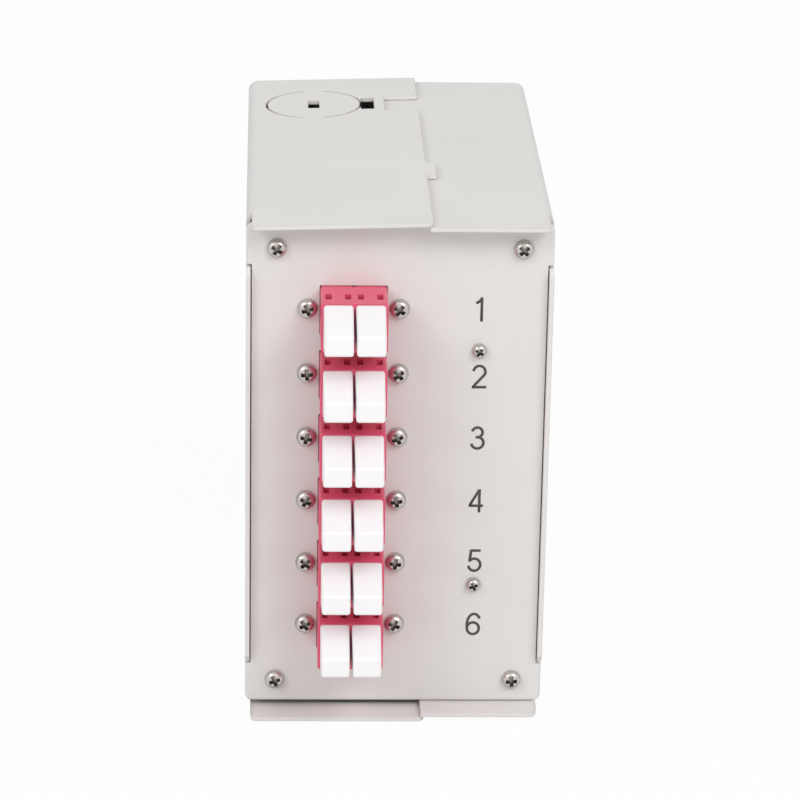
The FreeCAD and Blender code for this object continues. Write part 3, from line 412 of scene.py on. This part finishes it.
def turned_blank(head, height, shank, length):
    tip_radius = tip_share * shank / 2
    bpy.ops.object.select_all(action="DESELECT")
    bpy.ops.mesh.primitive_circle_add(vertices=ring_sides, radius=tip_radius, fill_type="NGON")
    blank = bpy.context.object
    bpy.ops.object.mode_set(mode="EDIT")
    bpy.ops.mesh.select_all(action="SELECT")
    bpy.ops.transform.translate(value=(0, 0, -length))
    raise_ring(tip_length * shank, 1 / tip_share)
    raise_ring(length - tip_length * shank, 1.0)
    radius = shank / 2
    level = 0.0
    for height_share, radius_share in head_rings:
        next_radius = radius_share * head / 2
        raise_ring(height_share * height - level, next_radius / radius)
        level = height_share * height
        radius = next_radius
    bpy.ops.mesh.select_all(action="SELECT")
    bpy.ops.mesh.normals_make_consistent(inside=False)
    bpy.ops.object.mode_set(mode="OBJECT")
    blank.data.materials.append(nickel)
    return blank


def press_slot(screw, head, height, turn):
    bpy.ops.object.select_all(action="DESELECT")
    bpy.ops.mesh.primitive_cube_add(size=1, location=(0, 0, 0))
    blade = bpy.context.object
    blade.scale = (recess_reach * head, recess_slot * head, 2 * recess_depth * height)
    blade.location = (0, 0, height)
    blade.rotation_euler = (0, 0, math.radians(turn))
    bpy.ops.object.transform_apply(location=True, rotation=True, scale=True)
    bpy.ops.object.mode_set(mode="EDIT")
    bpy.ops.mesh.select_all(action="DESELECT")
    bpy.ops.object.mode_set(mode="OBJECT")
    for vertex in blade.data.vertices:
        vertex.select = vertex.co.z < height
    bpy.ops.object.mode_set(mode="EDIT")
    bpy.ops.transform.resize(value=(recess_taper, recess_taper, 1))
    bpy.ops.object.mode_set(mode="OBJECT")
    # The cutter carries the painted-shade nickel, which the cut passes on to the recess faces.
    blade.data.materials.append(recess_shade_nickel)
    cut = screw.modifiers.new("recess", "BOOLEAN")
    cut.operation = "DIFFERENCE"
    cut.solver = "EXACT"
    cut.material_mode = "TRANSFER"
    cut.object = blade
    bpy.context.view_layer.objects.active = screw
    bpy.ops.object.modifier_apply(modifier="recess")
    bpy.data.objects.remove(blade)


def cross_screw(head, height, shank, length):
    screw = turned_blank(head, height, shank, length)
    for turn in (0, 90):
        press_slot(screw, head, height, turn)
    bpy.ops.object.select_all(action="DESELECT")
    screw.select_set(True)
    bpy.context.view_layer.objects.active = screw
    bpy.ops.object.shade_smooth_by_angle(angle=crease_angle)
    return screw


def set_screws(name, node, master, seats, outward):
    copies = []
    for index, seat in enumerate(seats):
        bpy.ops.object.select_all(action="DESELECT")
        master.select_set(True)
        bpy.context.view_layer.objects.active = master
        bpy.ops.object.duplicate()
        screw = bpy.context.object
        screw.rotation_euler = (0, 0, math.radians(first_turn + next_turn * index))
        bpy.ops.object.transform_apply(location=False, rotation=True, scale=False)
        screw.rotation_euler = outward
        screw.location = seat
        bpy.ops.object.transform_apply(location=True, rotation=True, scale=False)
        copies.append(screw)
    bpy.ops.object.select_all(action="DESELECT")
    for screw in copies:
        screw.select_set(True)
    bpy.context.view_layer.objects.active = copies[0]
    bpy.ops.object.join()
    group = bpy.context.object
    group.name = name
    bpy.data.objects.remove(master)
    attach(group, "case")
    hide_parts(node)


to_front = (math.radians(90), 0, 0)
head_height = 1.5 * mm
adapter_screw = cross_screw(head=adapter_head, height=head_height, shank=2.0 * mm, length=5.4 * mm)
adapter_seats = [
    (x, panel_face, top_row - (row - 1) * row_pitch)
    for row in port_rows
    for x in head_centres("adapter_screws", 0, adapter_head)
]
set_screws("adapter_screw_set", "adapter_screws", adapter_screw, adapter_seats, to_front)

# Corner screws: four of the same form, with thicker shanks, one near each corner of the panel.
# They hold the panel to the tabs of the two shells.
corner_head = 3.9 * mm
corner_screw = cross_screw(head=corner_head, height=head_height, shank=2.5 * mm, length=5.0 * mm)
corner_seats = [
    (x, panel_face, z)
    for x in head_centres("panel_screws", 0, corner_head)
    for z in head_centres("panel_screws", 2, corner_head)
]
set_screws("corner_screw_set", "panel_screws", corner_screw, corner_seats, to_front)

# Bracket screws: two smaller ones at the right of the panel, one above the other.
# They hold the splice bracket behind it.
bracket_head = 3.0 * mm
bracket_screw = cross_screw(head=bracket_head, height=head_height, shank=2.0 * mm, length=4.6 * mm)
bracket_line = head_centres("bracket_screws", 0, bracket_head)[0]
bracket_seats = [(bracket_line, panel_face, z) for z in head_centres("bracket_screws", 2, bracket_head)]
set_screws("bracket_screw_set", "bracket_screws", bracket_screw, bracket_seats, to_front)

# Tray screws: two of the same nickel screws, which hold the tray to its bracket.
# They stay as solids, because the closed case hides them.
dress("tray_screws", nickel)

# Cover shell: the left half of the case, folded like the base and pushed over its edges.
# It carries the knock-out and is coated in the same batch.
dress("cover_shell", grey_coat)

# Rail clip: a black moulded foot with a fixed upper hook, and a latch that slides in it.
# Both have a fine, even spark grain.
black_plastic = moulded_plastic(
    "black_clip_plastic",
    light=(0.028, 0.028, 0.029),
    dark=(0.020, 0.020, 0.021),
    roughness=0.48,
    grain_scale=2200.0,
    grain_depth=0.05 * mm,
    edge=0.3 * mm,
)
dress("rail_clip", black_plastic)
dress("rail_latch", black_plastic)

# Latch spring: a bowed strip of bare spring steel between the clip's ledge and the latch's window.
# Rolling leaves a fine sheen on it. In the real clip the latch presses it flatter as it slides down; here
# the bow is fixed.
spring_steel = plated_steel(
    "rolled_spring_steel", colour=(0.56, 0.55, 0.53), roughness=0.28, grain_scale=2500.0
)
spring_thick = 0.4 * mm
spring_edge = 0.05 * mm
spring_steps = 64
spring_low, spring_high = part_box("latch_spring")
bow_radius = (spring_high[0] - spring_low[0]) / 2
bow_middle = spring_high[2] - bow_radius
bow_reach = math.pi / 2 + math.asin((bow_middle - spring_low[2]) / bow_radius)
bpy.ops.object.select_all(action="DESELECT")
bpy.ops.mesh.primitive_grid_add(x_subdivisions=spring_steps, y_subdivisions=2, size=2, location=(0, 0, 0))
spring = bpy.context.object
spring.name = "bowed_latch_spring"
for vertex in spring.data.vertices:
    turn = vertex.co.x * bow_reach
    along = (vertex.co.y + 1) / 2
    vertex.co.x = bow_radius * math.sin(turn)
    vertex.co.y = spring_low[1] + along * (spring_high[1] - spring_low[1])
    vertex.co.z = bow_middle + bow_radius * math.cos(turn)
strip = spring.modifiers.new("strip", "SOLIDIFY")
strip.thickness = spring_thick
strip.offset = -1
rounded = spring.modifiers.new("rolled_edges", "BEVEL")
rounded.width = spring_edge
rounded.segments = 2
rounded.limit_method = "ANGLE"
bpy.ops.object.modifier_apply(modifier="strip")
bpy.ops.object.modifier_apply(modifier="rolled_edges")
bpy.ops.object.shade_smooth_by_angle(angle=crease_angle)
spring.data.materials.append(spring_steel)
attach(spring, "case")
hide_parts("latch_spring")
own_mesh(spring)

# Clip screws: two cross recess screws from the rail side, sunk in the clip's counterbores.
# They go through the back wall into nuts inside the case.
to_back = (math.radians(-90), 0, 0)
clip_head = 5.5 * mm
clip_screw = cross_screw(head=clip_head, height=head_height, shank=3.0 * mm, length=6.4 * mm)
clip_low, clip_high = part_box("clip_screws")
clip_seats = [
    (x, clip_high[1] - head_height, (clip_low[2] + clip_high[2]) / 2)
    for x in head_centres("clip_screws", 0, clip_head)
]
set_screws("clip_screw_set", "clip_screws", clip_screw, clip_seats, to_back)


# Studio: a white floor and a soft white room, with a lamp in front on each side, the right one brighter.
# The floor shines white to the camera and keeps a faint shadow of the box.
def shown_rays(nodes, links):
    rays = nodes.new("ShaderNodeLightPath")
    seen = nodes.new("ShaderNodeMath")
    seen.operation = "MAXIMUM"
    links.new(rays.outputs["Is Camera Ray"], seen.inputs[0])
    links.new(rays.outputs["Is Glossy Ray"], seen.inputs[1])
    through = nodes.new("ShaderNodeMath")
    through.operation = "MAXIMUM"
    links.new(seen.outputs["Value"], through.inputs[0])
    links.new(rays.outputs["Is Transmission Ray"], through.inputs[1])
    return through.outputs["Value"]


bpy.ops.object.select_all(action="DESELECT")
bpy.ops.mesh.primitive_plane_add(size=8, location=(0, 1.0, 0))
floor = bpy.context.object
floor.name = "studio_floor"
paper = bpy.data.materials.new("white_paper")
paper.use_nodes = True
nodes = paper.node_tree.nodes
links = paper.node_tree.links
nodes.clear()
matte = nodes.new("ShaderNodeBsdfDiffuse")
matte.inputs["Color"].default_value = (0.95, 0.95, 0.95, 1.0)
bounce = nodes.new("ShaderNodeBsdfDiffuse")
bounce.inputs["Color"].default_value = (0.80, 0.80, 0.80, 1.0)
glow = nodes.new("ShaderNodeEmission")
glow.inputs["Color"].default_value = (1.0, 1.0, 1.0, 1.0)
glow.inputs["Strength"].default_value = 1.0
share = nodes.new("ShaderNodeMath")
share.operation = "MULTIPLY"
share.inputs[1].default_value = 0.93
links.new(shown_rays(nodes, links), share.inputs[0])
rays = nodes.new("ShaderNodeLightPath")
toned = nodes.new("ShaderNodeMixShader")
links.new(rays.outputs["Is Diffuse Ray"], toned.inputs["Fac"])
links.new(matte.outputs["BSDF"], toned.inputs[1])
links.new(bounce.outputs["BSDF"], toned.inputs[2])
mixed = nodes.new("ShaderNodeMixShader")
links.new(share.outputs["Value"], mixed.inputs["Fac"])
links.new(toned.outputs["Shader"], mixed.inputs[1])
links.new(glow.outputs["Emission"], mixed.inputs[2])
surface = nodes.new("ShaderNodeOutputMaterial")
links.new(mixed.outputs["Shader"], surface.inputs["Surface"])
floor.data.materials.append(paper)

room = bpy.data.worlds.new("white_room")
bpy.context.scene.world = room
room.use_nodes = True
nodes = room.node_tree.nodes
links = room.node_tree.links
nodes.clear()
soft_light = nodes.new("ShaderNodeBackground")
soft_light.inputs["Color"].default_value = (1.0, 1.0, 1.0, 1.0)
soft_light.inputs["Strength"].default_value = 0.61
white_view = nodes.new("ShaderNodeBackground")
white_view.inputs["Color"].default_value = (1.0, 1.0, 1.0, 1.0)
white_view.inputs["Strength"].default_value = 1.0
mixed = nodes.new("ShaderNodeMixShader")
links.new(shown_rays(nodes, links), mixed.inputs["Fac"])
links.new(soft_light.outputs["Background"], mixed.inputs[1])
links.new(white_view.outputs["Background"], mixed.inputs[2])
surface = nodes.new("ShaderNodeOutputWorld")
links.new(mixed.outputs["Shader"], surface.inputs["Surface"])


def studio_lamp(name, place, energy, tilt, turn):
    bpy.ops.object.light_add(type="AREA", location=place)
    lamp = bpy.context.object
    lamp.name = name
    lamp.data.size = 0.7
    lamp.data.energy = energy
    lamp.rotation_euler = (math.radians(tilt), 0, math.radians(turn))


studio_lamp("right_lamp", place=(0.75, -1.07, 1.14), energy=9.0, tilt=50.0, turn=35.0)
studio_lamp("left_lamp", place=(-0.98, -0.98, 1.03), energy=7.0, tilt=55.0, turn=-45.0)

# Camera: a long lens looking down on the front, a little from the left.
# It stands about 0.7 m in front of the panel.
bpy.ops.object.camera_add(location=(-26.34 * mm, -729.4 * mm, 328.06 * mm))
camera = bpy.context.object
camera.rotation_euler = (math.radians(69.160), math.radians(-0.984), math.radians(-1.864))
camera.data.sensor_width = 36.0
camera.data.lens = 167.2
bpy.context.scene.camera = camera
bpy.context.scene.view_settings.view_transform = "Standard"
